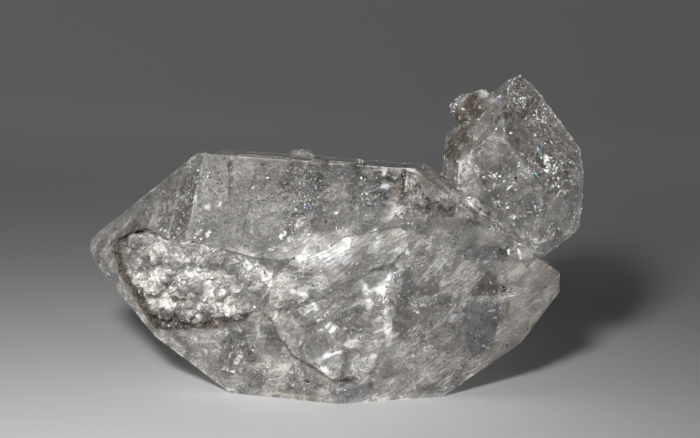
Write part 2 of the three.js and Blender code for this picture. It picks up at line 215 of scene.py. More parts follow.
# Black specks: the middle and the radius of each cluster in mm, and how many.
SPECKS = (
    ((10.6, -11.4, 29.2), 1.1, 90), ((12.2, -11.0, 28.0), 1.6, 60), ((13.6, -10.7, 27.3), 1.0, 30),
    ((9.5, -13.4, 26.4), 1.0, 16), ((22.6, -3.9, 21.0), 0.7, 45), ((17.3, -6.9, 21.1), 0.8, 18),
    ((23.3, -0.6, 15.7), 0.9, 60), ((-7.8, -13.0, 22.0), 2.6, 26), ((-0.5, -14.0, 23.2), 3.0, 24),
    ((7.3, -12.0, 28.0), 2.0, 20), ((-15.0, -8.6, 29.0), 2.5, 20), ((14.5, -6.0, 13.0), 3.0, 16),
)
STREWN_SPECKS = 500  # how many places are tried for black specks outside the clusters
FILM_TRIES, FILM_CRUMBS = 220000, 9000  # places tried for brown crumbs, and the most that stay

SKIN_DEPTH = 0.1  # a point this far under the crystal's own faces, in mm, is on a hollow's floor
HOLLOW_DEPTH = 9  # no hollow's floor lies this far under its mouth, in mm
HOLLOW_ROOM = 4.2  # nothing inside comes nearer than this under a hollow's mouth, in mm
HOLLOW_REACH = HOLLOW_ROOM + 8  # how far under the mouth that counts, in mm
MARGIN = 0.25  # a crack's least distance from the faces, in mm
CUT_ROUNDS = 6  # how often the skin's long edges are cut in two
# The longest edge of the skin's triangles, in mm, on each kind of surface.
# the most triangles the crystal piece may have; more raise an error
LONGEST = {"plain": 2.4, "small": 1.0, "marked": 0.6, "hollow": 0.40, "line": 0.32}
MOST_TRIANGLES = 199000  # the export thins a piece that has 200,000 or more
FLAKE_POINTS = 6  # four round a flake's rim, one above it and one below
THIN_FILM = 0.955  # flakes whose number is above this show the colours of a thin film
COVE_RISE = 1.3  # how high the floor curves up all round, in metres


# ---------------------------------------------------------------- settings
class QuartzSettings(bpy.types.PropertyGroup):
    ior: FloatProperty(
        name="Refraction", description="How strongly the quartz bends light", default=1.544,
        min=1.0, max=2.5,
    )
    tint: FloatVectorProperty(
        name="Body Colour", description="Colour that is left of white light inside",
        subtype="COLOR", default=(0.785, 0.78, 0.77), min=0, max=1,
    )
    haze: FloatProperty(
        name="Absorption", description="How much light is lost on the way through, per metre",
        default=14.0, min=0,
    )
    polish: FloatProperty(
        name="Face Roughness", description="Roughness of the natural faces", default=0.03,
        min=0, max=1,
    )
    frost: FloatProperty(
        name="Break Roughness", description="Roughness where the crystal is broken", default=0.42,
        min=0, max=1,
    )


class CrackSettings(bpy.types.PropertyGroup):
    large: IntProperty(
        name="Large Cracks", description="How many wide curved cracks lie inside", default=26,
        min=0,
    )
    small: IntProperty(
        name="Small Cracks", description="How many small cracks lie inside", default=220, min=0,
    )
    gap: FloatProperty(
        name="Gap", description="How wide a crack stands open at its middle", default=0.03 * MM,
        unit="LENGTH",
    )


class FlakeSettings(bpy.types.PropertyGroup):
    veils: IntProperty(
        name="Veils", description="How many curved veils of bright flakes lie inside",
        default=46, min=0,
    )
    on_veils: IntProperty(
        name="Flakes on Veils", description="How many flakes lie on the veils", default=11000,
        min=0,
    )
    loose: IntProperty(
        name="Loose Flakes", description="How many flakes lie between the veils", default=8000,
        min=0,
    )
    size: FloatProperty(
        name="Flake Size", description="Radius of the largest flakes", default=0.36 * MM,
        unit="LENGTH",
    )
    thickness: FloatProperty(
        name="Flake Thickness", description="Thickness of a flake as a share of its radius",
        default=0.16, min=0.01, max=1,
    )
    roughness: FloatProperty(
        name="Flake Roughness", description="Roughness of a flake's faces", default=0.3, min=0,
        max=1,
    )
    on_skin: IntProperty(
        name="Glints at the Skin", description="How many small shards lie at the faces",
        default=24000, min=0,
    )
    glint_size: FloatProperty(
        name="Glint Size", description="Radius of the largest shards at the faces",
        default=0.55 * MM, unit="LENGTH",
    )
    glint_roughness: FloatProperty(
        name="Glint Roughness", description="Roughness of the shards at the faces", default=0.2,
        min=0, max=1,
    )


class StageSettings(bpy.types.PropertyGroup):
    floor_colour: FloatVectorProperty(
        name="Floor Colour", description="Colour of the floor and the cove", subtype="COLOR",
        default=(0.78, 0.78, 0.785), min=0, max=1,
    )
    floor_radius: FloatProperty(
        name="Floor Radius", description="Where the floor starts to curve up", default=0.9,
        unit="LENGTH",
    )
    key_power: FloatProperty(
        name="Key Power", description="Power of the small lamp in front, in watts", default=0.129,
    )
    key_size: FloatProperty(
        name="Key Size", description="Side of the small lamp", default=0.018, unit="LENGTH",
    )
    front_glow: FloatProperty(
        name="Front Softbox", description="Brightness of the softbox in front", default=2.2,
    )
    top_glow: FloatProperty(
        name="Top Softbox", description="Brightness of the softbox overhead", default=1.8,
    )
    room_glow: FloatProperty(
        name="Room Light", description="Strength of the even light all round", default=0.03,
        min=0,
    )
    back_power: FloatProperty(
        name="Backdrop Power", description="Power of the lamp over the backdrop, in watts",
        default=2.85,
    )


# ---------------------------------------------------------------- numbers and noise
def lattice(i, j, k, seed):
    """A fixed random number from -1 to 1 for each whole point (i, j, k)."""
    h = np.sin(i * 127.1 + j * 311.7 + k * 74.7 + seed * 19.19) * 43758.5453
    return 2 * (h - np.floor(h)) - 1


def hills(points, size, seed):
    """Smooth bumps from -1 to 1 at points: lattice numbers a size apart, eased between the
    eight corners of each cell."""
    p = points / size
    base = np.floor(p)
    t = p - base
    t = t * t * (3 - 2 * t)
    total = np.zeros(len(points))
    for corner in np.ndindex(2, 2, 2):
        share = np.prod(np.where(corner, t, 1 - t), axis=1)
        total += share * lattice(*(base + corner).T, seed)
    return total


def ease(values, low, high):
    """0 up to low, 1 from high on, and smooth between them."""
    t = np.clip((values - low) / (high - low), 0, 1)
    return t * t * (3 - 2 * t)


def distance_to(line, spots, closed=False):
    """How far each spot lies from a line of straight stretches: the least of its distances from
    the stretches."""
    line = np.array(line, dtype=float)
    if closed:
        line = np.concatenate([line, line[:1]])
    start, run = line[:-1], np.diff(line, axis=0)
    away = spots[:, None, : line.shape[1]] - start
    share = np.clip((away * run).sum(axis=2) / (run**2).sum(axis=1), 0, 1)
    return np.linalg.norm(away - share[..., None] * run, axis=2).min(axis=1)


def nearest_of(middles, points):
    """How far each point lies from the nearest of the middles."""
    return np.linalg.norm(points[:, None] - np.array(middles), axis=2).min(axis=1)


def inside_edge(edge, spots):
    """True for each spot (along, up) inside a closed outline: a line from it to the far right
    crosses the outline an odd number of times."""
    x, y = spots[:, :1], spots[:, 1:2]
    ax, ay = np.transpose(edge)
    bx, by = np.roll(ax, -1), np.roll(ay, -1)
    straddles = (ay > y) != (by > y)
    crossing = ax + (y - ay) * (bx - ax) / np.where(by == ay, 1e-9, by - ay)
    return (straddles & (x < crossing)).sum(axis=1) % 2 == 1


def rotation(axis, degrees):
    """A turn about an axis, as a matrix."""
    return np.array(Matrix.Rotation(math.radians(degrees), 3, axis))


def planes(crystal):
    """A crystal's 18 faces: outward directions, and distances from the origin in mm. A side's
    direction is square to the long axis, and an end's leans towards it."""
    turn, lean, roll = crystal["turned"]
    turned = rotation("Z", turn) @ rotation("Y", lean) @ rotation("Z", roll)
    a = np.arange(SIDES) * 2 * np.pi / SIDES
    out, up = math.sin(END_LEAN), math.cos(END_LEAN)
    rows = [
        np.stack([r * np.cos(a), r * np.sin(a), np.full(SIDES, h)], axis=1)
        for r, h in ((1, 0), (out, up), (out, -up))
    ]
    normals = np.concatenate(rows) @ turned.T
    reach = np.array(crystal["sides"] + crystal["head"] + crystal["foot"])
    return normals, reach + normals @ np.array(crystal["middle"])


def depths_under(crystal, points):
    """How deep each point lies under each of a crystal's faces, in mm, which is the face's
    distance less the point's along its direction, and the faces' directions."""
    normals, reach = planes(crystal)
    return reach - points @ normals.T, normals


def depth_in(crystal, points):
    """How deep each point lies under a crystal's nearest face, in mm, below zero outside it."""
    return depths_under(crystal, points)[0].min(axis=1)


def on_small(points):
    """True for each point of the skin that stands clear of the long crystal."""
    return depth_in(LONG, points) < -0.3


def edge_near(points):
    """How far each point of the skin lies from its crystal's nearest edge, in mm: its distances
    from the two nearest faces together."""
    both = [
        np.sort(np.abs(depths_under(crystal, points)[0]), axis=1)[:, :2].sum(axis=1)
        for crystal in (LONG, SMALL)
    ]
    return np.minimum(*both)


def in_hollow(hollow, points):
    """Each point's place in a hollow's own axes: along the crystal, up, and outwards."""
    out, up = np.radians(hollow["out"])
    outward = np.array([
        math.sin(out) * math.cos(up), -math.cos(out) * math.cos(up), math.sin(up),
    ])
    turn = math.radians(LONG["turned"][0])
    along = np.array([math.cos(turn), math.sin(turn), 0.0])
    along -= outward * (along @ outward)
    along /= np.linalg.norm(along)
    return (points - hollow["middle"]) @ np.stack([along, np.cross(outward, along), outward]).T


def room_inside(points):
    """How much quartz each point has round it in mm, whichever crystal it lies in. Under a
    hollow's mouth the hollow's own depth is taken off."""
    room = depth_in(LONG, points)
    for hollow in (DRUSE, SCAR):
        place = in_hollow(hollow, points)
        under = inside_edge(1.12 * np.array(hollow["edge"]), place)
        room = np.where(under & (place[:, 2] > -HOLLOW_REACH), room - HOLLOW_ROOM, room)
    return np.maximum(room, depth_in(SMALL, points))


# ---------------------------------------------------------------- meshes
def node_arrays(name):
    """A CAD node's corners in mm, merged where they meet, and its triangles."""
    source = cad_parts[name].data
    points = np.empty(len(source.vertices) * 3)
    source.vertices.foreach_get("co", points)
    points = points.reshape(-1, 3) / MM
    source.calc_loop_triangles()
    faces = np.empty(len(source.loop_triangles) * 3, dtype=np.int64)
    source.loop_triangles.foreach_get("vertices", faces)
    _, first, merged = np.unique(
        np.round(points, 4), axis=0, return_index=True, return_inverse=True
    )
    faces = merged.reshape(-1)[faces].reshape(-1, 3)
    whole = (faces != np.roll(faces, 1, axis=1)).all(axis=1)
    return points[first], faces[whole]


def face_crosses(points, faces):
    """Each triangle's corners, and its direction, as long as twice its area."""
    a, b, c = points[faces].transpose(1, 0, 2)
    return a, b, c, np.cross(b - a, c - a)


def vertex_normals(points, faces):
    """Each point's direction: the sum of its triangles' own, the larger ones counting more."""
    *_, across = face_crosses(points, faces)
    total = np.zeros_like(points)
    for k in range(3):
        np.add.at(total, faces[:, k], across)
    return total / np.maximum(np.linalg.norm(total, axis=1, keepdims=True), 1e-12)


def split_edges(points, faces, limit_at):
    """One round of cutting: every edge longer than limit_at(middle) gets a point at its middle,
    and each triangle is cut into two, three or four between the new points."""
    edges = np.stack([faces, np.roll(faces, -1, axis=1)], axis=2).reshape(-1, 2)
    pairs, index = np.unique(np.sort(edges, axis=1), axis=0, return_inverse=True)
    ends = points[pairs]
    middles = ends.mean(axis=1)
    long = np.linalg.norm(ends[:, 0] - ends[:, 1], axis=1) > limit_at(middles)
    number = np.where(long, len(points) + np.cumsum(long) - 1, -1)
    cut = number[index.reshape(-1, 3)]
    cuts = (cut >= 0).sum(axis=1)
    # turn each triangle so that its cut edges come first
    first = np.where(cuts == 1, (cut >= 0).argmax(axis=1), ((cut < 0).argmax(axis=1) + 1) % 3)
    order = (first[:, None] + np.arange(3)) % 3
    a, b, c = np.take_along_axis(faces, order, axis=1).T
    p, q, r = np.take_along_axis(cut, order, axis=1).T
    shapes = (
        ((a, b, c),),
        ((a, p, c), (p, b, c)),
        ((p, b, q), (a, p, q), (a, q, c)),
        ((a, p, r), (p, b, q), (r, q, c), (p, q, r)),
    )
    made = [
        np.stack(corners, axis=1)[cuts == count]
        for count, shape in enumerate(shapes)
        for corners in shape
    ]
    return np.concatenate([points, middles[long]]), np.concatenate(made)


def join(sets):
    """Several sets of points and triangles as one."""
    starts = np.cumsum([0] + [len(points) for points, _ in sets])
    points = np.concatenate([points for points, _ in sets])
    return points, np.concatenate([faces + s for (_, faces), s in zip(sets, starts)])


def new_object(name, data):
    """An object of that name in the scene, standing at the origin."""
    made = bpy.data.objects.new(name, data)
    bpy.context.collection.objects.link(made)
    return made


def new_piece(name, points, faces, material, attributes, sharp_at=None):
    """A mesh object from points in mm and triangles, riding on the crystal's body."""
    mesh = bpy.data.meshes.new(name)
    mesh.vertices.add(len(points))
    mesh.vertices.foreach_set("co", (points * MM).astype(np.float32).ravel())
    mesh.loops.add(faces.size)
    mesh.loops.foreach_set("vertex_index", faces.astype(np.int32).ravel())
    mesh.polygons.add(len(faces))
    mesh.polygons.foreach_set("loop_start", np.arange(0, faces.size, 3, dtype=np.int32))
    mesh.update(calc_edges=True)
    mesh.validate()
    if sharp_at is not None:
        mesh.shade_smooth()
        mesh.set_sharp_from_angle(angle=math.radians(sharp_at))
    for key, values in attributes.items():
        kind, field = "FLOAT", "value"
        if values.ndim == 2:
            kind, field = "FLOAT_COLOR", "color"
            values = np.concatenate([values, np.ones((len(values), 1))], axis=1)
        layer = mesh.attributes.new(key, kind, "POINT")
        layer.data.foreach_set(field, values.astype(np.float32).ravel())
    mesh.materials.append(material)
    piece = new_object(name, mesh)
    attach(piece, BODY)
    return piece


# ---------------------------------------------------------------- the crystal's skin
def pyramids(spots, size, seed):
    """Low six-sided pyramids packed side by side: in each cell a size wide one peak stands at a
    random place, and the height is the highest of the nine nearest peaks less the six-sided
    distance to it."""
    cell = np.floor(spots / size)
    best = np.full(len(spots), -np.inf)
    for shift in np.ndindex(3, 3):
        home = cell + np.array(shift) - 1
        jitter_x, jitter_y, spin, peak = (lattice(*home.T, k, seed) for k in (1, 2, 3, 4))
        gap = spots - (home + 0.5 + 0.4 * np.stack([jitter_x, jitter_y], axis=1)) * size
        spin = np.pi / 6 * spin
        reach = np.max(
            [np.abs(gap[:, 0] * np.cos(spin + k) + gap[:, 1] * np.sin(spin + k))
             for k in np.arange(3) * np.pi / 3],
            axis=0,
        )
        best = np.maximum(best, 0.35 * size * peak - 0.75 * reach)
    return best


def zones(points):
    """How far each point of the skin belongs to each kind of surface, from 0 to 1."""
    deep = depth_in(LONG, points) > SKIN_DEPTH
    found = {"small": on_small(points).astype(float)}
    for name, hollow in (("druse", DRUSE), ("scar", SCAR)):
        place = in_hollow(hollow, points)
        floor = inside_edge(hollow["edge"], place) & deep & (place[:, 2] > -HOLLOW_DEPTH)
        found[name] = floor.astype(float)
    along, up, _ = in_hollow(SCAR, points).T
    shelf = np.interp(along, *np.transpose(SCAR_SHELF))
    found["shelf"] = found["scar"] * ease(up - shelf, -0.15, 0.15)
    found["bowl"] = found["scar"] - found["shelf"]
    return found


def dirt_at(points):
    """How strongly each point of the skin is stained brown, from 0 to 1: along the druse's left
    and lower rim, and in the round stains."""
    place = in_hollow(DRUSE, points)
    along, up, out = place.T
    rim = distance_to(DRUSE["edge"], place, closed=True)
    left = np.maximum(ease(-along, 5.0, 8.5), ease(-up, 2.5, 4.5))
    line = 1.2 * np.exp(-(rim / 0.32) ** 2) * ease(hills(points, 0.6, 21), -1.0, 0.0)
    band = 0.6 * np.exp(-((rim - 0.6) / 0.8) ** 2) * ease(hills(points, 0.8, 23), -0.1, 0.5)
    total = left * (np.abs(out) < 5) * np.maximum(line, band)
    for middle, radius, strength in STAINS:
        far = np.linalg.norm(points - middle, axis=1) / radius + 0.35 * hills(points, 1.1, 29)
        total = np.maximum(total, strength * ease(-far, -1.0, -0.3))
    return np.clip(total, 0, 1)


def line_near(points):
    """True for each point near a streak, a patch's outline or an edge on the crystal's front."""
    ahead = points[:, [0, 2]]
    near = (edge_near(points) < 0.2) & (points[:, 2] < 29)
    for line, width, *_ in STREAKS:
        near |= distance_to(line, ahead) < width
    for *_, outline in PATCHES:
        near |= distance_to(outline, ahead, closed=True) < 0.2
    return near & (points[:, 1] < np.interp(points[:, 0], (10, 28), (-3, 1)))


def marks(points, normals, found):
    """Each point's tone, and how milky, frosted, crusted, combed and free of fine lines it is: the
    zones' own values and the pale edges, and over them the druse's painted highlights and shade, the
    patches and streaks, among them painted shade and painted bluish tints, the scar's rim with its
    painted shadow line, and the brown dirt."""
    x, _, z = points.T
    front = normals[:, 1] < 0
    ahead = points[:, [0, 2]]
    even = 1 - np.maximum(found["druse"], found["scar"])
    crusted = 0.11 + 0.18 * ease(hills(points, 2.4, 37), -0.7, 0.6)
    clouded = 0.6 + 0.8 * ease(hills(points, 5.5, 53), -0.6, 0.6)
    edge = front * ease(-edge_near(points), -0.3, 0.0) * ease(hills(points, 1.2, 63), -0.8, 0.2)
    milk = (
        clouded * (0.088 - 0.045 * ease(normals[:, 2], 0.1, 0.4))  # less on top
        + found["druse"] * crusted + 0.11 * found["shelf"] + 0.06 * found["bowl"]
        + 0.045 * even * ease(x, 6.0, 12.0) * ease(-z, -26, -23)  # the right faces
        + 0.05 * ease(-z, -10.0, -3.0) + 0.05 * ease(-x, 20.0, 25.0)  # the bottom and the left tip
        + 0.16 * edge * even
    )
    frost = 0.42 * found["druse"] + 0.45 * found["shelf"] + 0.25 * found["bowl"]
    tone = np.tile([0.95, 0.945, 0.935], (len(points), 1))
    warm = ease(hills(points, 6.0, 71) + 0.4 * hills(points, 1.6, 73), -0.2, 0.7)
    tone -= warm[:, None] * np.array([0.0, 0.025, 0.065])
    calm = np.zeros(len(points))

    def lay(share, colour, thick):
        """Moves the tone and the milkiness towards a colour and a thickness by a share."""
        tone[:] += share[:, None] * (np.array(colour) - tone)
        milk[:] += share * (thick - milk)

    place = in_hollow(DRUSE, points)[:, :2]
    # painted highlights and painted shade on the druse's floor
    for middle, radius, bright, thick in DRUSE_HIGHLIGHTS_AND_SHADE:
        far = np.linalg.norm(place - middle, axis=1) / radius + 0.45 * hills(points, 0.7, 61)
        share = found["druse"] * ease(-far, -1.2, -0.4)
        lay(share, bright * np.array([1.0, 0.975, 0.95]), thick)
    for colour, thick, stillness, outline in PATCHES:
        far = distance_to(outline, ahead, closed=True)
        share = inside_edge(outline, ahead) * front * ease(far, 0.0, 0.25)
        lay(share, colour, thick)
        calm = np.maximum(calm, share * stillness)
    for line, width, colour, thick in STREAKS:
        far = distance_to(line, ahead) / width + 0.7 * hills(points, 0.6, 43)
        share = front * ease(-far, -1.0, -0.2) * ease(hills(points, 0.7, 47), -0.6, 0.2)
        lay(share, colour, thick)
        frost = np.maximum(frost, share * 0.8)
    # a thin dark line of painted shadow round the scar's left and lower rim
    place = in_hollow(SCAR, points)
    along, up, out = place.T
    rim = distance_to(SCAR["edge"], place, closed=True)
    rim = np.exp(-(rim / 0.22) ** 2) * (np.abs(out) < 5)
    lay(rim * ease(-along, -2.5, 0.0) * ease(-up, -1.0, 2.0), (0.16, 0.15, 0.14), 0.4)
    lay(dirt_at(points) ** 0.6, (0.09, 0.073, 0.06), 0.85)
    return {"tone": tone, "milk": milk, "frost": frost, "crust": found["druse"],
            "combed": found["shelf"], "calm": calm}


@functools.lru_cache(maxsize=1)
def skin():
    """The crystal's outer skin: the CAD solid, cut finer where it is rough, with pyramids on
    the druse's floor, ripples in the scar and knobbly growth on the small crystal."""
    points, faces = node_arrays(NODE)

    def limit_at(middles):
        """The longest that an edge with its middle there may be, in mm."""
        found = zones(middles)
        x, y, z = middles.T
        marked = ((x > 16) & (y < 5) & (z < 25)) | (dirt_at(middles) > 0.05)
        limit = np.where(found["small"] > 0, LONGEST["small"], LONGEST["plain"])
        limit = np.where(marked, np.minimum(limit, LONGEST["marked"]), limit)
        limit = np.where(found["druse"] + found["scar"] > 0, LONGEST["hollow"], limit)
        return np.where(line_near(middles), np.minimum(limit, LONGEST["line"]), limit)

    for _ in range(CUT_ROUNDS):
        points, faces = split_edges(points, faces, limit_at)
    found = zones(points)
    normals = vertex_normals(points, faces)
    spots = in_hollow(DRUSE, points)[:, :2]
    drusy = pyramids(spots, 1.3, 3) + 0.25 * hills(points, 0.9, 5) + 0.25
    along, up, _ = in_hollow(SCAR, points).T
    struck = np.hypot(along - 3, up + 7)
    ripple = 0.03 * np.sin(struck * 5 + 3 * hills(points, 2.5, 8)) + 0.10 * hills(points, 0.9, 4)
    combs = np.stack([0.22 * (along + 0.6 * up), up - 0.6 * along, 0 * up], axis=1)
    relief = (
        found["druse"] * np.clip(1.2 * drusy, -0.5, 0.5)
        + found["bowl"] * ripple
        + found["shelf"] * 0.06 * hills(combs, 0.55, 6)
        + found["small"] * 0.05 * hills(points, 1.1, 12)
    )
    return points + normals * relief[:, None], faces, marks(points, normals, found)


def skin_places(dice, count, wanted, most=None):
    """Places on the skin, spread evenly over it and kept as often as wanted(points) says, up to
    the most that may stay, with the skin's own directions there."""
    points, faces, _ = skin()
    a, b, c, across = face_crosses(points, faces)
    size = np.linalg.norm(across, axis=1)
    pick = dice.choice(len(faces), count, p=size / size.sum())
    s, t = np.sqrt(dice.uniform(0, 1, count)), dice.uniform(0, 1, count)
    places = (
        a[pick] * (1 - s)[:, None] + b[pick] * (s * (1 - t))[:, None] + c[pick] * (s * t)[:, None]
    )
    kept = np.flatnonzero(dice.uniform(0, 1, count) < wanted(places))[:most]
    return places[kept], (across[pick] / size[pick][:, None])[kept]


# ---------------------------------------------------------------- cracks
def random_frames(dice, count, normals=0.0, spread=1.0):
    """Square axes for each crack or flake: the third is its normal, near the given ones."""
    up = dice.normal(size=(count, 3)) * spread + normals
    up /= np.linalg.norm(up, axis=1, keepdims=True)
    side = np.cross(up, dice.normal(size=(count, 3)))
    side /= np.linalg.norm(side, axis=1, keepdims=True)
    return np.stack([side, np.cross(up, side), up], axis=1)


def keep_inside(middles, frames, radii):
    """Which cracks stay inside the quartz: eight points round each rim, and as many a little
    way out along its normal, have room round them."""
    a = np.arange(8)[:, None] * np.pi / 4
    radii = radii[:, None, None]
    rim = middles[:, None] + 1.35 * radii * (
        np.cos(a) * frames[:, None, 0] + np.sin(a) * frames[:, None, 1]
    )
    lifted = 0.35 * radii * frames[:, None, 2]
    rim = np.concatenate([rim + lifted, rim - lifted], axis=1)
    return (room_inside(rim.reshape(-1, 3)).reshape(len(middles), -1) > MARGIN).all(axis=1)


def scatter(dice, crystal, count, radius_range):
    """Cracks at random places in a crystal, small ones more often than large ones: middles,
    axes and radii, which are given as shares of the crystal's own thickness. Those that would
    break the surface are left out."""
    low, high = np.array(radius_range) * np.mean(crystal["sides"])
    reach = max(crystal["head"] + crystal["foot"]) * 1.4
    middles = np.array(crystal["middle"]) + dice.uniform(-reach, reach, (count * 60 + 400, 3))
    middles = middles[depth_in(crystal, middles) > 0.4]
    radii = low + (high - low) * dice.uniform(0, 1, len(middles)) ** 2.2
    frames = random_frames(dice, len(middles))
    fits = np.flatnonzero(keep_inside(middles, frames, radii))[:count]
    return middles[fits], frames[fits], radii[fits]


def crack_shells(middles, frames, radii, bend, gap, rings, spokes, seed):
    """Thin closed hollows shaped like curved leaves, their faces pointing into the hollow.

    Each crack is a disc about its middle in its own axes: at a share t of the way out and an
    angle a its point lies t * radius * outline(a) out, where outline is 1 with four random
    waves, and is lifted by bend times t squared and by smooth bumps. The two sides lie half of
    gap * (1 - t * t) above and below it and meet at the rim."""
    count = len(middles)
    dice = np.random.default_rng(seed)
    a = np.arange(spokes) * 2 * np.pi / spokes
    waves = sum(
        dice.uniform(0.05, 0.26, (count, 1)) / k
        * np.cos(k * a + dice.uniform(0, 2 * np.pi, (count, 1)))
        for k in (1, 2, 3, 5)
    )
    t = np.repeat(np.arange(rings + 1)[:, None] / rings, spokes, axis=1)
    size = radii[:, None, None]
    reach = t * size * (1 + waves)[:, None]
    narrow = dice.uniform(0.45, 1.0, (count, 1, 1))
    x, y = reach * np.cos(a), reach * np.sin(a) * narrow
    side_x, side_y, up = (frames[:, None, None, k] for k in range(3))
    flat = middles[:, None, None] + x[..., None] * side_x + y[..., None] * side_y
    lift = bend[:, None, None] * size * t**2 * np.cos(a + dice.uniform(0, 6.28, (count, 1, 1)))
    at, each = flat.reshape(-1, 3), np.repeat(radii, t.size)
    bumps = 0.10 * each * hills(at / each[:, None], 0.55, seed) + 0.05 * hills(at, 0.35, seed + 1)
    lift = lift + bumps.reshape(lift.shape)
    half = 0.5 * gap * (1 - t**2)
    # the rim is shared, and so is each side's middle
    points = []
    for height, last in ((lift + half, rings + 1), (lift - half, rings)):
        side = flat + height[..., None] * up
        points += [side[:, 0, :1], side[:, 1:last].reshape(count, -1, 3)]
    points = np.concatenate(points, axis=1)
    above = 1 + np.arange(rings * spokes).reshape(rings, spokes)
    low_middle = 1 + above.size
    below = np.concatenate([above[:-1] + low_middle, above[-1:]])
    faces = []
    for middle, ring, flip in ((0, above, 1), (low_middle, below, -1)):
        after = np.roll(ring, -1, axis=1)
        sheet = [(np.full(spokes, middle), after[0], ring[0])]
        for w, z, v, u in zip(ring, after, ring[1:], after[1:]):
            sheet += [(w, z, u), (w, u, v)]
        faces += [np.stack(corners[::flip], axis=1) for corners in sheet]
    faces = np.concatenate(faces) + (np.arange(count) * points.shape[1])[:, None, None]
    return points.reshape(-1, 3), faces.reshape(-1, 3)


def cracks(settings):
    """All the crystal's cracks as one set of points and triangles."""
    dice = np.random.default_rng(41)
    kinds = (  # how many, the radii, the most that they bend, rings, spokes and seed
        (settings.large, (0.13, 0.42), 0.3, 7, 22, 61),
        (settings.small, (0.02, 0.1), 0.4, 3, 10, 67),
    )
    sets = []
    for crystal, share in SHARES:
        for count, radius_range, most, rings, spokes, seed in kinds:
            found = scatter(dice, crystal, int(count * share), radius_range)
            bend = dice.uniform(-most, most, len(found[0]))
            sets.append(crack_shells(*found, bend, settings.gap / MM, rings, spokes, seed))
    return join(sets)


# ---------------------------------------------------------------- flakes
def flake_shells(middles, frames, radii, thickness, dice, narrow=1.0):
    """Small closed flakes: four corners round each middle at uneven angles and distances, and a
    point above and below it by half the thickness, which is a share of the radius. A narrow
    flake is as many times less wide than long."""
    count = len(middles)
    a = np.arange(4) * np.pi / 2 + dice.uniform(-0.5, 0.5, (count, 4))
    reach = radii[:, None] * dice.uniform(0.45, 1.0, (count, 4))
    rim = (
        middles[:, None]
        + (reach * np.cos(a))[..., None] * frames[:, None, 0]
        + (reach * np.sin(a) * narrow)[..., None] * frames[:, None, 1]
    )
    rise = (0.5 * thickness * radii)[:, None] * frames[:, 2]
    points = np.concatenate([rim, (middles + rise)[:, None], (middles - rise)[:, None]], axis=1)
    k = np.arange(4)
    after = (k + 1) % 4
    above = np.stack([k, after, np.full(4, 4)], axis=1)
    below = np.stack([after, k, np.full(4, 5)], axis=1)
    starts = (np.arange(count) * FLAKE_POINTS)[:, None, None]
    return points.reshape(-1, 3), (np.concatenate([above, below]) + starts).reshape(-1, 3)


def flake_places(crystal, settings, share, dice):
    """Places and axes of the flakes in a crystal: some loose, and the rest on curved leaves,
    each a disc that is lifted by a bend across it and by smooth bumps."""
    centres, frames, radii = scatter(
        dice, crystal, max(1, int(settings.veils * share)), (0.12, 0.6)
    )
    count = int(settings.on_veils * share)
    pick = dice.choice(len(centres), count, p=radii**2 / (radii**2).sum())
    t, a = np.sqrt(dice.uniform(0, 1, count)), dice.uniform(0, 2 * np.pi, count)
    x = (t * np.cos(a) * radii[pick])[:, None]
    y = (t * np.sin(a) * radii[pick] * 0.7)[:, None]
    side_x, side_y, up = frames[pick].transpose(1, 0, 2)
    flat = centres[pick] + x * side_x + y * side_y
    bend = dice.uniform(-0.06, 0.06, len(centres))[pick]
    lift = bend * x[:, 0] ** 2 + 0.5 * hills(flat, 2.2, 33) + 0.08 * dice.normal(size=count)
    low, high = np.array(crystal["middle"]) - 40, np.array(crystal["middle"]) + 40
    loose = dice.uniform(low, high, (int(settings.loose * share * 26), 3))
    loose = loose[room_inside(loose) * (depth_in(crystal, loose) > 0) > 0.3]
    loose = loose[: int(settings.loose * share)]
    places = np.concatenate([flat + lift[:, None] * up, loose])
    normals = np.concatenate([up, np.zeros((len(loose), 3))])
    spread = np.where(np.arange(len(places)) < count, 0.28, 1.0)[:, None]
    fits = (room_inside(places) > 0.3) & (depth_in(crystal, places) > 0.2)
    return places[fits], random_frames(dice, fits.sum(), normals[fits], spread[fits])


def flakes(settings):
    """All the flakes as one set of points and triangles, with a random tone for each flake."""
    dice = np.random.default_rng(77)
    parts = [flake_places(crystal, settings, share, dice) for crystal, share in SHARES]
    middles, frames = (np.concatenate(kind) for kind in zip(*parts))
    radii = settings.size / MM * (0.3 + 0.7 * dice.uniform(0, 1, len(middles)) ** 3)
    points, faces = flake_shells(middles, frames, radii, settings.thickness, dice)
    return points, faces, np.repeat(dice.uniform(0, 1, len(middles)), FLAKE_POINTS)


def glints(settings):
    """Small shards at the skin, crowded in some places and scarce in others."""
    dice = np.random.default_rng(91)
    largest = settings.glint_size / MM

    def wanted(places):
        """How often a shard stays at each place, from 0 to 1."""
        crowd = ease(hills(places, 3.2, 51) + 0.7 * hills(places, 1.1, 52), -0.1, 1.1)
        total = 0.03 + 0.25 * crowd + 0.06 * on_small(places)
        total = total + 0.05 * zones(places)["scar"] + 0.04 * (edge_near(places) < 0.12)
        for radius, middles in GLITTER:
            total += 0.7 * np.exp(-((nearest_of(middles, places) / radius) ** 2))
        off_floor = places[:, 2] > largest
        on_top = (places[:, 2] > 31.0) & (places[:, 0] < 12)
        return np.clip(total, 0, 1) * (1 - 0.85 * dirt_at(places)) * off_floor * (1 - 0.9 * on_top)

    places, normals = skin_places(dice, settings.on_skin * 6, wanted, settings.on_skin)
    frames = random_frames(dice, len(places), 1.6 * normals, 0.8)
    radii = largest * (0.22 + 0.78 * dice.uniform(0, 1, len(places)) ** 5)
    radii *= 1 + 0.4 * on_small(places)
    narrow = dice.uniform(0.15, 0.6, (len(places), 1))
    points, faces = flake_shells(places, frames, radii, 0.25, dice, narrow)
    tones = dice.uniform(0, 1, len(places))
    film = nearest_of(COLOURED, places) < 0.6
    tones = np.where(film, THIN_FILM + (1 - THIN_FILM) * tones, tones)
    return points, faces, np.repeat(tones, FLAKE_POINTS)


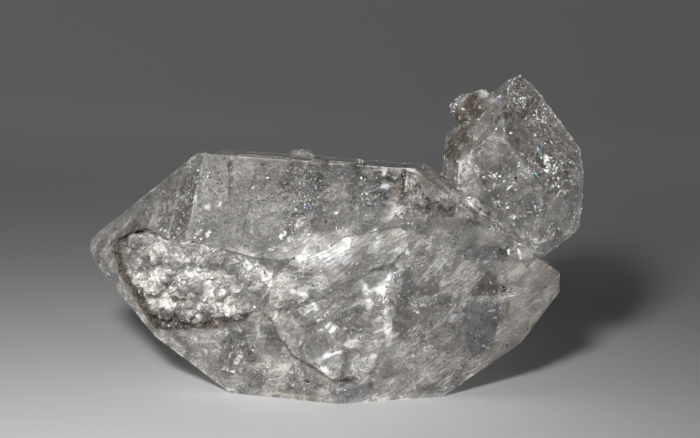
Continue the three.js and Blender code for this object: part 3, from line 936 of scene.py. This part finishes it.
# ---------------------------------------------------------------- grains
def onto_faces(points, under):
    """Moves each point along the nearest face's direction until it lies that far under it."""
    moved = []
    for crystal in (LONG, SMALL):
        depths, normals = depths_under(crystal, points)
        nearest = depths.argmin(axis=1)
        depth = depths[np.arange(len(points)), nearest]
        moved.append((depth, points + (depth - under)[:, None] * normals[nearest]))
    (long_depth, on_long), (small_depth, on_small_one) = moved
    return np.where((long_depth > small_depth)[:, None], on_long, on_small_one)


def black_specks():
    """Dull black grains in clusters close under the faces, and a few strewn about."""
    dice = np.random.default_rng(17)
    middles = np.concatenate([
        np.array(middle) + dice.normal(size=(count, 3)) * radius * 0.6
        for middle, radius, count in SPECKS
    ])
    places = onto_faces(middles, dice.uniform(-0.02, 0.03, len(middles)))
    strewn, _ = skin_places(dice, STREWN_SPECKS, lambda at: 0.5 * (at[:, 2] > 0.5))
    places = np.concatenate([places, strewn])
    radii = 0.09 + 0.26 * dice.uniform(0, 1, len(places)) ** 2.5
    points, faces = flake_shells(places, random_frames(dice, len(places)), radii, 0.9, dice)
    return points, faces, np.zeros(len(points))


def brown_grains():
    """Brown crumbs of clay film where the skin is stained."""
    dice = np.random.default_rng(29)
    places, normals = skin_places(
        dice, FILM_TRIES, lambda at: 0.9 * ease(dirt_at(at), 0.15, 0.8), FILM_CRUMBS
    )
    radii = 0.05 + 0.16 * dice.uniform(0, 1, len(places)) ** 2
    frames = random_frames(dice, len(places), 2.0 * normals, 0.7)
    points, faces = flake_shells(places, frames, radii, 0.5, dice)
    return points, faces, np.repeat(dice.uniform(0, 1, len(places)), FLAKE_POINTS)


# ---------------------------------------------------------------- materials
STREAK_SLOPE = (0, math.radians(34), 0)  # how the drawn-out lines in the quartz lean
FLAKE_TONES = (
    (0.0, (0.62, 0.60, 0.57)), (0.12, (0.42, 0.35, 0.28)), (0.18, (0.92, 0.92, 0.91)),
    (THIN_FILM, (0.45, 0.80, 0.98)), (0.967, (0.98, 0.62, 0.30)), (0.98, (0.42, 0.95, 0.55)),
    (0.99, (0.60, 0.48, 0.98)),
)


def put(socket, value):
    """Gives a socket a value, a colour or another node's output."""
    if isinstance(value, bpy.types.NodeSocket):
        socket.id_data.links.new(value, socket)
    elif socket.type == "RGBA":
        socket.default_value = (*value, 1)
    else:
        socket.default_value = value


def new_material(name, **inputs):
    """A material, its nodes and its shader's sockets, with what goes into those that are named.
    A name has _ for a space."""
    material = bpy.data.materials.new(name)
    material.use_nodes = True
    tree = material.node_tree
    shader = tree.nodes["Principled BSDF"]
    for key, value in inputs.items():
        put(shader.inputs[key.replace("_", " ")], value)
    return material, tree, shader.inputs


def add_node(tree, kind, inputs, **settings):
    """A node of a kind, with its own settings and what goes into its sockets."""
    node = tree.nodes.new("ShaderNode" + kind)
    for key, value in settings.items():
        setattr(node, key, value)
    for key, value in inputs.items():
        put(node.inputs[key], value)
    return node


def attribute(tree, name, output="Fac"):
    """The marks of that name on the mesh's points."""
    return add_node(tree, "Attribute", {}, attribute_name=name).outputs[output]


def math_node(tree, operation, *values, clamp=False):
    """One step of arithmetic on numbers and other nodes' outputs."""
    inputs = dict(enumerate(values))
    return add_node(tree, "Math", inputs, operation=operation, use_clamp=clamp).outputs[0]


def noise(tree, scale, detail, distortion=0.0, drawn=None):
    """A noise pattern on the object's own coordinates. scale is in patterns per metre. drawn
    scales it along the slope, so less than 1 draws the pattern out into lines."""
    vector = add_node(tree, "TexCoord", {}).outputs["Object"]
    if drawn:
        for kind, values in (("Rotation", STREAK_SLOPE), ("Scale", (drawn, 1, 1))):
            mapping = add_node(tree, "Mapping", {"Vector": vector, kind: values})
            vector = mapping.outputs["Vector"]
    inputs = {"Vector": vector, "Scale": scale, "Detail": detail, "Distortion": distortion}
    return add_node(tree, "TexNoise", inputs).outputs["Fac"]


def cells(tree, scale):
    """Cone-like bumps packed side by side: the distance to the nearest of random points."""
    vector = add_node(tree, "TexCoord", {}).outputs["Object"]
    inputs = {"Vector": vector, "Scale": scale}
    return add_node(tree, "TexVoronoi", inputs, distance="MANHATTAN").outputs["Distance"]


def ridges(tree, pattern, sharpness):
    """Thin bright lines where a noise pattern passes its middle value."""
    away = math_node(tree, "ABSOLUTE", math_node(tree, "SUBTRACT", pattern, 0.5))
    return math_node(tree, "SUBTRACT", 1.0, math_node(tree, "MULTIPLY", away, sharpness),
                     clamp=True)


def ramp(tree, value, stops, interpolation="LINEAR"):
    """A colour for each value: the stops are places from 0 to 1 and their colours."""
    node = add_node(tree, "ValToRGB", {"Fac": value})
    node.color_ramp.interpolation = interpolation
    elements = node.color_ramp.elements
    while len(elements) < len(stops):
        elements.new(1.0)
    for element, (place, colour) in zip(elements, stops):
        element.position = place
        element.color = (*colour, 1)
    return node.outputs["Color"]


def quartz_material(settings):
    """Clear quartz: plain transmission, refraction and absorption. Clouds and fine lines of
    milk, frosted breaks and stains follow the skin's own marks."""
    material, tree, shader = new_material("clear_quartz", IOR=settings.ior)
    rough = math_node(tree, "MULTIPLY_ADD", attribute(tree, "frost"), settings.frost,
                      settings.polish, clamp=True)
    put(shader["Roughness"], rough)

    # how milky: the skin's own mark times clouds with fine lines, even where it is calm
    clouds = math_node(tree, "MULTIPLY_ADD", noise(tree, 300, 6, 0.8), 5.0, -2.0, clamp=True)
    crackle = ridges(tree, noise(tree, 900, 5, 2.2), 34)
    drawn = ridges(tree, noise(tree, 700, 5, 0.8, 0.3), 26)
    lines = math_node(tree, "MULTIPLY", math_node(tree, "MAXIMUM", crackle, drawn), clouds)
    grain = math_node(tree, "MULTIPLY_ADD", lines, 3.2, 0.5)
    grain = math_node(tree, "MULTIPLY_ADD", clouds, 0.8, grain)
    evened = math_node(tree, "MULTIPLY", math_node(tree, "SUBTRACT", 1.0, grain),
                       attribute(tree, "calm"))
    grain = math_node(tree, "ADD", grain, evened)
    milky = math_node(tree, "MULTIPLY", attribute(tree, "milk"), grain)
    fine = noise(tree, 1700, 3, 0.5, 0.12)
    combed = math_node(tree, "MULTIPLY", ridges(tree, fine, 9), attribute(tree, "combed"))
    milky = math_node(tree, "MULTIPLY_ADD", combed, 0.35, milky, clamp=True)
    put(shader["Transmission Weight"], math_node(tree, "SUBTRACT", 1.0, milky, clamp=True))

    shade = ramp(tree, noise(tree, 520, 5, 0.4), ((0.35, (0.66, 0.62, 0.57)), (0.62, WHITE)))
    colours = {"Factor": 1.0, "A": attribute(tree, "tone", "Color"), "B": shade}
    mix = tree.nodes.new("ShaderNodeMix")
    mix.data_type, mix.blend_type = "RGBA", "MULTIPLY"
    for key, value in colours.items():
        put(mix.inputs[key], value)
    put(shader["Base Color"], mix.outputs["Result"])

    height = 0.0
    for pattern, where, share in (
        (noise(tree, 1400, 4), None, 0.04),
        (cells(tree, 1500), "crust", 0.36),
        (cells(tree, 3400), "crust", 0.22),
        (fine, "combed", 0.25),
    ):
        if where:
            pattern = math_node(tree, "MULTIPLY", pattern, attribute(tree, where))
        height = math_node(tree, "MULTIPLY_ADD", pattern, share, height)
    bump = add_node(tree, "Bump", {"Height": height, "Distance": 0.4 * MM, "Strength": 1.0})
    put(shader["Normal"], bump.outputs["Normal"])
    inputs = {"Color": settings.tint, "Density": settings.haze}
    volume = add_node(tree, "VolumeAbsorption", inputs)
    put(tree.nodes["Material Output"].inputs["Volume"], volume.outputs[0])
    return material


def flake_material(name, roughness):
    """Bright mirror-like flakes, mostly white, a few with the colours of a thin film."""
    material, tree, shader = new_material(name, Roughness=roughness)
    tone = attribute(tree, "tone")
    shine = math_node(tree, "GREATER_THAN", tone, 0.5)
    put(shader["Metallic"], math_node(tree, "MULTIPLY_ADD", shine, 0.7, 0.3))
    put(shader["Base Color"], ramp(tree, tone, FLAKE_TONES, "CONSTANT"))
    return material


def dull_material(name, dark, pale):
    """A dull mineral film: its tone runs from dark to pale with the grain's own number."""
    material, tree, shader = new_material(name, Roughness=0.75)
    colour = ramp(tree, attribute(tree, "tone"), ((0.0, dark), (1.0, pale)))
    put(shader["Base Color"], colour)
    return material


# ---------------------------------------------------------------- operators
class QUARTZ_OT_crystal(bpy.types.Operator):
    """Makes the clear crystal: its skin, and the cracks as thin hollows inside it"""

    bl_idname = "quartz.crystal"
    bl_label = "Clear Crystal"

    def execute(self, context):
        scene = context.scene
        points, faces, marked = skin()
        hollow_points, hollow_faces = cracks(scene.quartz_cracks)
        count = len(hollow_points)
        marked = {  # the cracks' walls are white and otherwise without marks
            key: np.concatenate([
                values, np.full((count, *values.shape[1:]), float(key == "tone")),
            ])
            for key, values in marked.items()
        }
        points, faces = join([(points, faces), (hollow_points, hollow_faces)])
        if len(faces) > MOST_TRIANGLES:
            raise RuntimeError(f"the crystal has {len(faces)} triangles, which is too many")
        piece = new_piece(
            "quartz_body", points, faces, quartz_material(scene.quartz_look),
            marked, sharp_at=20,
        )
        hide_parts(NODE)
        return {"FINISHED"}


class QUARTZ_OT_flakes(bpy.types.Operator):
    """Makes the bright flakes of the healed fractures inside the crystal, and at its faces"""

    bl_idname = "quartz.flakes"
    bl_label = "Fracture Flakes"

    def execute(self, context):
        settings = context.scene.quartz_flakes
        for name, made, roughness in (
            ("fracture_flakes", flakes, settings.roughness),
            ("skin_glints", glints, settings.glint_roughness),
        ):
            points, faces, tones = made(settings)
            material = flake_material(name, roughness)
            new_piece(name, points, faces, material, {"tone": tones})
        return {"FINISHED"}


class QUARTZ_OT_grains(bpy.types.Operator):
    """Makes the black specks under the faces and the brown film on the stained places"""

    bl_idname = "quartz.grains"
    bl_label = "Specks and Film"

    def execute(self, context):
        for name, made, dark, pale in (
            ("black_specks", black_specks, (0.02, 0.019, 0.017), (0.05, 0.045, 0.04)),
            ("brown_film", brown_grains, (0.07, 0.055, 0.04), (0.32, 0.265, 0.21)),
        ):
            points, faces, tones = made()
            new_piece(name, points, faces, dull_material(name, dark, pale), {"tone": tones})
        return {"FINISHED"}


class QUARTZ_OT_stage(bpy.types.Operator):
    """Makes the pale floor and its cove, the lamps and the camera"""

    bl_idname = "quartz.stage"
    bl_label = "Studio"

    def execute(self, context):
        settings = context.scene.quartz_stage
        self.floor(settings)
        self.lights(context.scene, settings)
        self.camera(context.scene)
        return {"FINISHED"}

    def floor(self, settings):
        """A disc that curves up all round: a profile of a straight run and a quarter circle,
        turned about the vertical."""
        radius, rise = settings.floor_radius, COVE_RISE
        a = np.linspace(0, np.pi / 2, 24)
        run = np.concatenate([[0.0, 0.3 * radius], radius + rise * np.sin(a)])
        height = np.concatenate([[0.0, 0.0], rise * (1 - np.cos(a))])
        turn = np.linspace(0, 2 * np.pi, 97)[:-1]
        rings, spokes = len(run), len(turn)
        points = np.stack([
            run[:, None] * np.cos(turn), run[:, None] * np.sin(turn),
            np.repeat(height[:, None], spokes, axis=1),
        ], axis=2).reshape(-1, 3)
        near = np.arange((rings - 1) * spokes).reshape(-1, spokes)
        after = np.roll(near, -1, axis=1)
        quads = np.stack([near, near + spokes, after + spokes, after], axis=2).reshape(-1, 4)
        mesh = bpy.data.meshes.new("floor")
        mesh.from_pydata(points.tolist(), [], quads.tolist())
        mesh.shade_smooth()
        material, *_ = new_material(
            "studio_paper", Base_Color=settings.floor_colour, Roughness=0.85,
            Specular_IOR_Level=0.2,
        )
        mesh.materials.append(material)
        floor = new_object("floor", mesh)
        floor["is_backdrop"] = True

    def lights(self, scene, settings):
        """The lamps, each a square that shines at a place, and the even light of the room."""
        middle = (0, 0, 0.015)
        front_size, top_size = 0.50, 0.45
        lamps = (  # name, place, what it shines at, size, power, spread, and who doesn't see it
            ("key", (-0.024, -0.195, 0.085), (-0.020, 0.10, 0.0), settings.key_size,
             settings.key_power, 90, "transmission"),
            ("backdrop", (-0.25, 0.10, 1.0), (-0.25, 1.10, 1.0), 0.3, settings.back_power, 180,
             "camera"),
            ("front_box", (-0.08, -0.45, 0.27), middle, front_size,
             settings.front_glow * math.pi * front_size**2, 180, "diffuse"),
            ("top_box", (-0.05, 0.10, 0.50), middle, top_size,
             settings.top_glow * math.pi * top_size**2, 180, "diffuse"),
        )
        for name, place, aim, size, power, spread, blind in lamps:
            light = bpy.data.lights.new(name, "AREA")
            light.shape = "SQUARE"
            light.size = size
            light.energy = power
            light.spread = math.radians(spread)
            lamp = new_object(name, light)
            lamp.location = place
            ray = Vector(np.subtract(aim, place))
            lamp.rotation_euler = ray.to_track_quat("-Z", "Y").to_euler()
            lamp.visible_camera = False
            setattr(lamp, "visible_" + blind, False)
        world = bpy.data.worlds.new("room")
        world.use_nodes = True
        glow = world.node_tree.nodes["Background"].inputs
        put(glow["Color"], (0.95, 0.97, 1.0))
        put(glow["Strength"], settings.room_glow)
        scene.world = world

    def camera(self, scene):
        """A camera in front of the crystal, given by its place and its right and up axes."""
        place = (0.0025, -0.21647, 0.04751)
        right, up = (0.9983, 0.0063, 0.0574), (-0.0577, 0.1091, 0.9924)
        data = bpy.data.cameras.new("camera")
        data.lens = 85.0
        data.sensor_width = 36.0
        data.clip_start, data.clip_end = 0.01, 20.0
        camera = new_object("camera", data)
        axes = Matrix([right, up, np.cross(right, up)]).transposed()
        camera.matrix_world = Matrix.Translation(place) @ axes.to_4x4()
        scene.camera = camera


class QUARTZ_PT_panel(bpy.types.Panel):
    """The steps, in the order in which they are made"""

    bl_label = "Herkimer Diamond"
    bl_idname = "QUARTZ_PT_panel"
    bl_space_type = "VIEW_3D"
    bl_region_type = "UI"
    bl_category = "Quartz"

    def draw(self, context):
        for step in STEPS:
            self.layout.operator(step.bl_idname)


SETTINGS = {
    "quartz_look": QuartzSettings,
    "quartz_cracks": CrackSettings,
    "quartz_flakes": FlakeSettings,
    "quartz_stage": StageSettings,
}
STEPS = (QUARTZ_OT_stage, QUARTZ_OT_crystal, QUARTZ_OT_flakes, QUARTZ_OT_grains)
CLASSES = (*SETTINGS.values(), *STEPS, QUARTZ_PT_panel)


def register():
    for cls in CLASSES:
        bpy.utils.register_class(cls)
    for name, group in SETTINGS.items():
        setattr(bpy.types.Scene, name, PointerProperty(type=group))


def unregister():
    for name in SETTINGS:
        delattr(bpy.types.Scene, name)
    for cls in reversed(CLASSES):
        bpy.utils.unregister_class(cls)


def corners():
    """The lowest and the highest corner of the box round the object."""
    return [list(corner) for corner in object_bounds()]


def render_depth(scene):
    """Clear crystal needs many bounces, and its greys are shown as they are."""
    scene.cycles.max_bounces = 28
    scene.cycles.transmission_bounces = 28
    scene.cycles.glossy_bounces = 12
    scene.cycles.diffuse_bounces = 4
    scene.view_settings.view_transform = "Standard"


def main():
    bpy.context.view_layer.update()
    register()
    render_depth(bpy.context.scene)
    for step in STEPS:
        group, name = step.bl_idname.split(".")
        getattr(getattr(bpy.ops, group), name)()


if __name__ == "__main__":
    main()
